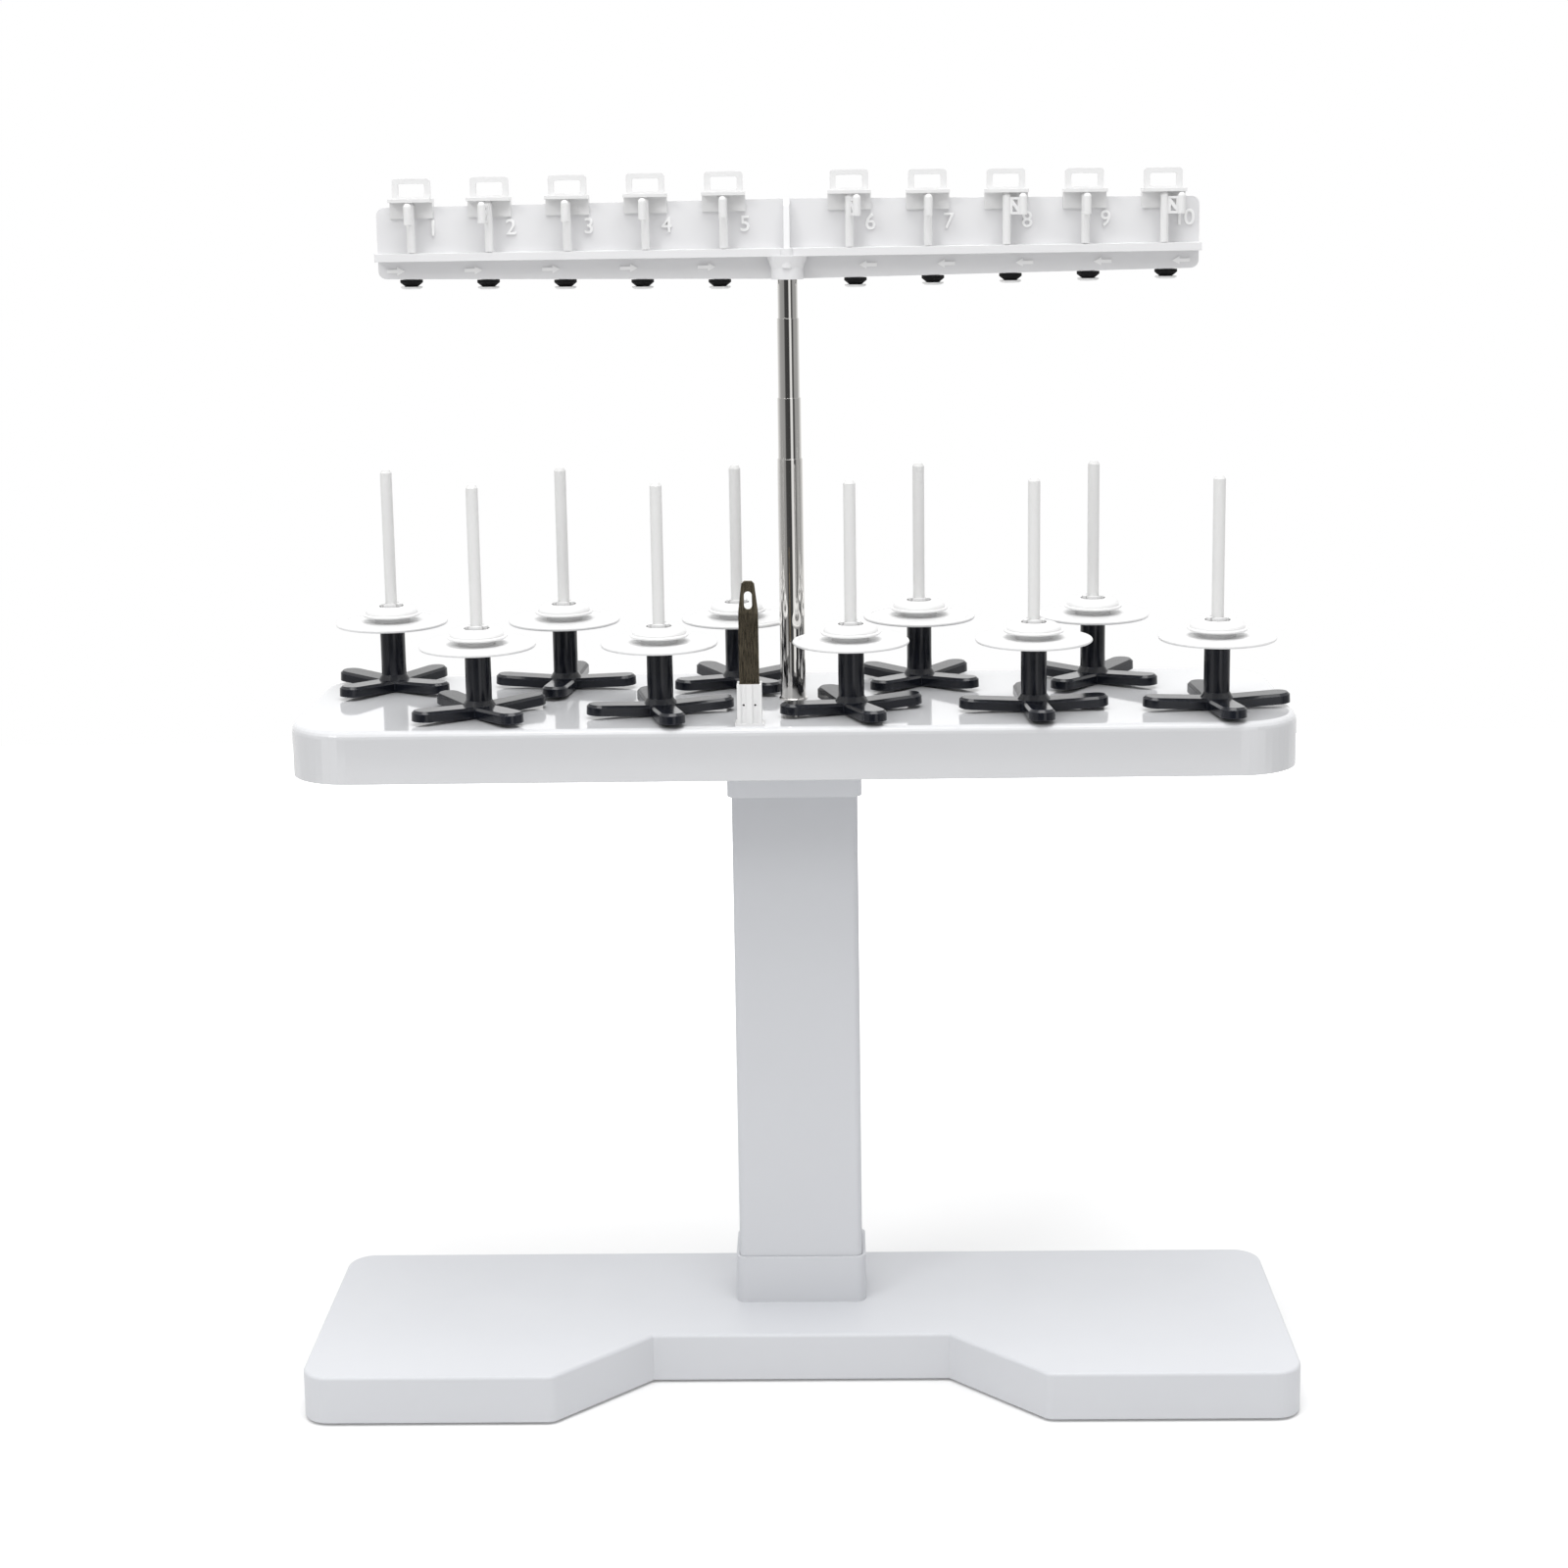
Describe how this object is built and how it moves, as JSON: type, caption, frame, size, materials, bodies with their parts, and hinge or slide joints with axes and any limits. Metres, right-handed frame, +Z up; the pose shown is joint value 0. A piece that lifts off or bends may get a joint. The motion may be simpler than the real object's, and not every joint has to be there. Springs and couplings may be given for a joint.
{
  "type": "thread rack",
  "caption": "Free-standing thread rack: notched base, column, tray of spool pins with cross feet and caps, telescopic pole and thread guide bar with clips and levers.",
  "frame": {"origin": "on the floor, below the middle of the whole outline", "axes": "+Z up, +X to the user's right along the tray, -Y to the front, where the base's notch is"},
  "size_m": [0.44, 0.1538, 0.541],
  "materials": {
    "shell_white": "glossy white moulded plastic",
    "stand_grey": "fine satin texture, very light grey",
    "cover_grey": "satin, light grey",
    "pin_white": "satin white moulded plastic",
    "foot_black": "semi-gloss black moulded plastic",
    "pole_chrome": "polished chrome plate",
    "blade_steel": "polished, dark and warm in reflection",
    "rubber_black": "matt black rubber",
    "screw_steel": "zinc plated"
  },
  "bodies": {
    "stand": {"base_shell": "stand_grey", "base_bottom": "cover_grey", "rubber_feet": "rubber_black", "column": "stand_grey", "column_collar": "stand_grey", "column_screws": "screw_steel", "tray_shell": "shell_white", "tray_bottom": "cover_grey", "cover_screws": "screw_steel", "spool_pins": "pin_white", "pole_stage_1": "pole_chrome", "pole_ferrule": "pole_chrome", "tweezers_holder": "pin_white"},
    "pole_2": {"pole_stage_2": "pole_chrome"},
    "pole_3": {"pole_stage_3": "pole_chrome"},
    "bar": {"pole_stage_4": "pole_chrome", "guide_bar": "shell_white", "clamp_rubbers": "rubber_black", "clamp_studs": "pin_white", "thread_clip_1": "shell_white", "thread_clip_2": "shell_white", "thread_clip_3": "shell_white", "thread_clip_4": "shell_white", "thread_clip_5": "shell_white", "thread_clip_6": "shell_white", "thread_clip_7": "shell_white", "thread_clip_8": "shell_white", "thread_clip_9": "shell_white", "thread_clip_10": "shell_white"},
    "tweezers": {"tweezers": "blade_steel"},
    "foot_1": {"cross_foot_1": "foot_black"},
    "foot_2": {"cross_foot_2": "foot_black"},
    "foot_3": {"cross_foot_3": "foot_black"},
    "foot_4": {"cross_foot_4": "foot_black"},
    "foot_5": {"cross_foot_5": "foot_black"},
    "foot_6": {"cross_foot_6": "foot_black"},
    "foot_7": {"cross_foot_7": "foot_black"},
    "foot_8": {"cross_foot_8": "foot_black"},
    "foot_9": {"cross_foot_9": "foot_black"},
    "foot_10": {"cross_foot_10": "foot_black"},
    "cap_1": {"spool_cap_1": "pin_white"},
    "cap_2": {"spool_cap_2": "pin_white"},
    "cap_3": {"spool_cap_3": "pin_white"},
    "cap_4": {"spool_cap_4": "pin_white"},
    "cap_5": {"spool_cap_5": "pin_white"},
    "cap_6": {"spool_cap_6": "pin_white"},
    "cap_7": {"spool_cap_7": "pin_white"},
    "cap_8": {"spool_cap_8": "pin_white"},
    "cap_9": {"spool_cap_9": "pin_white"},
    "cap_10": {"spool_cap_10": "pin_white"},
    "lever_1": {"tension_lever_1": "pin_white"},
    "lever_2": {"tension_lever_2": "pin_white"},
    "lever_3": {"tension_lever_3": "pin_white"},
    "lever_4": {"tension_lever_4": "pin_white"},
    "lever_5": {"tension_lever_5": "pin_white"},
    "lever_6": {"tension_lever_6": "pin_white"},
    "lever_7": {"tension_lever_7": "pin_white"},
    "lever_8": {"tension_lever_8": "pin_white"},
    "lever_9": {"tension_lever_9": "pin_white"},
    "lever_10": {"tension_lever_10": "pin_white"}
  },
  "joints": [
    {"name": "pole_2_slide", "type": "slide", "parent": "stand", "child": "pole_2", "axis": [0, 0, 1], "range_m": [-0.0265, 0.05]},
    {"name": "pole_3_slide", "type": "slide", "parent": "pole_2", "child": "pole_3", "axis": [0, 0, 1], "range_m": [-0.0345, 0.05]},
    {"name": "bar_slide", "type": "slide", "parent": "pole_3", "child": "bar", "axis": [0, 0, 1], "range_m": [-0.0165, 0.05]},
    {"name": "tweezers_lift", "type": "slide", "parent": "stand", "child": "tweezers", "axis": [0, 0, 1], "range_m": [0, 0.05]},
    {"name": "foot_turn_1", "type": "hinge", "parent": "stand", "child": "foot_1", "pos_m": [-0.186, 0.044, 0.306], "axis": [0, 0, 1], "continuous": true},
    {"name": "foot_turn_2", "type": "hinge", "parent": "stand", "child": "foot_2", "pos_m": [-0.138, -0.018, 0.306], "axis": [0, 0, 1], "continuous": true},
    {"name": "foot_turn_3", "type": "hinge", "parent": "stand", "child": "foot_3", "pos_m": [-0.106, 0.044, 0.306], "axis": [0, 0, 1], "continuous": true},
    {"name": "foot_turn_4", "type": "hinge", "parent": "stand", "child": "foot_4", "pos_m": [-0.058, -0.018, 0.306], "axis": [0, 0, 1], "continuous": true},
    {"name": "foot_turn_5", "type": "hinge", "parent": "stand", "child": "foot_5", "pos_m": [-0.026, 0.044, 0.306], "axis": [0, 0, 1], "continuous": true},
    {"name": "foot_turn_6", "type": "hinge", "parent": "stand", "child": "foot_6", "pos_m": [0.026, -0.018, 0.306], "axis": [0, 0, 1], "continuous": true},
    {"name": "foot_turn_7", "type": "hinge", "parent": "stand", "child": "foot_7", "pos_m": [0.058, 0.044, 0.306], "axis": [0, 0, 1], "continuous": true},
    {"name": "foot_turn_8", "type": "hinge", "parent": "stand", "child": "foot_8", "pos_m": [0.106, -0.018, 0.306], "axis": [0, 0, 1], "continuous": true},
    {"name": "foot_turn_9", "type": "hinge", "parent": "stand", "child": "foot_9", "pos_m": [0.138, 0.044, 0.306], "axis": [0, 0, 1], "continuous": true},
    {"name": "foot_turn_10", "type": "hinge", "parent": "stand", "child": "foot_10", "pos_m": [0.186, -0.018, 0.306], "axis": [0, 0, 1], "continuous": true},
    {"name": "cap_lift_1", "type": "slide", "parent": "stand", "child": "cap_1", "axis": [0, 0, 1], "range_m": [0, 0.072]},
    {"name": "cap_lift_2", "type": "slide", "parent": "stand", "child": "cap_2", "axis": [0, 0, 1], "range_m": [0, 0.072]},
    {"name": "cap_lift_3", "type": "slide", "parent": "stand", "child": "cap_3", "axis": [0, 0, 1], "range_m": [0, 0.072]},
    {"name": "cap_lift_4", "type": "slide", "parent": "stand", "child": "cap_4", "axis": [0, 0, 1], "range_m": [0, 0.072]},
    {"name": "cap_lift_5", "type": "slide", "parent": "stand", "child": "cap_5", "axis": [0, 0, 1], "range_m": [0, 0.072]},
    {"name": "cap_lift_6", "type": "slide", "parent": "stand", "child": "cap_6", "axis": [0, 0, 1], "range_m": [0, 0.072]},
    {"name": "cap_lift_7", "type": "slide", "parent": "stand", "child": "cap_7", "axis": [0, 0, 1], "range_m": [0, 0.072]},
    {"name": "cap_lift_8", "type": "slide", "parent": "stand", "child": "cap_8", "axis": [0, 0, 1], "range_m": [0, 0.072]},
    {"name": "cap_lift_9", "type": "slide", "parent": "stand", "child": "cap_9", "axis": [0, 0, 1], "range_m": [0, 0.072]},
    {"name": "cap_lift_10", "type": "slide", "parent": "stand", "child": "cap_10", "axis": [0, 0, 1], "range_m": [0, 0.072]},
    {"name": "lever_swing_1", "type": "hinge", "parent": "bar", "child": "lever_1", "pos_m": [-0.1647, 0.0111, 0.5075], "axis": [0, 0, 1], "range_deg": [-75, 75]},
    {"name": "lever_swing_2", "type": "hinge", "parent": "bar", "child": "lever_2", "pos_m": [-0.1304, 0.0111, 0.5075], "axis": [0, 0, 1], "range_deg": [-60, 90]},
    {"name": "lever_swing_3", "type": "hinge", "parent": "bar", "child": "lever_3", "pos_m": [-0.0961, 0.0111, 0.5075], "axis": [0, 0, 1], "range_deg": [-75, 75]},
    {"name": "lever_swing_4", "type": "hinge", "parent": "bar", "child": "lever_4", "pos_m": [-0.0618, 0.0111, 0.5075], "axis": [0, 0, 1], "range_deg": [-70, 80]},
    {"name": "lever_swing_5", "type": "hinge", "parent": "bar", "child": "lever_5", "pos_m": [-0.0275, 0.0111, 0.5075], "axis": [0, 0, 1], "range_deg": [-75, 75]},
    {"name": "lever_swing_6", "type": "hinge", "parent": "bar", "child": "lever_6", "pos_m": [0.0275, 0.0111, 0.5075], "axis": [0, 0, 1], "range_deg": [-100, 50]},
    {"name": "lever_swing_7", "type": "hinge", "parent": "bar", "child": "lever_7", "pos_m": [0.0618, 0.0111, 0.5075], "axis": [0, 0, 1], "range_deg": [-75, 75]},
    {"name": "lever_swing_8", "type": "hinge", "parent": "bar", "child": "lever_8", "pos_m": [0.0961, 0.0111, 0.5075], "axis": [0, 0, 1], "range_deg": [-142, 8]},
    {"name": "lever_swing_9", "type": "hinge", "parent": "bar", "child": "lever_9", "pos_m": [0.1304, 0.0111, 0.5075], "axis": [0, 0, 1], "range_deg": [-75, 75]},
    {"name": "lever_swing_10", "type": "hinge", "parent": "bar", "child": "lever_10", "pos_m": [0.1647, 0.0111, 0.5075], "axis": [0, 0, 1], "range_deg": [-147, 3]}
  ]
}
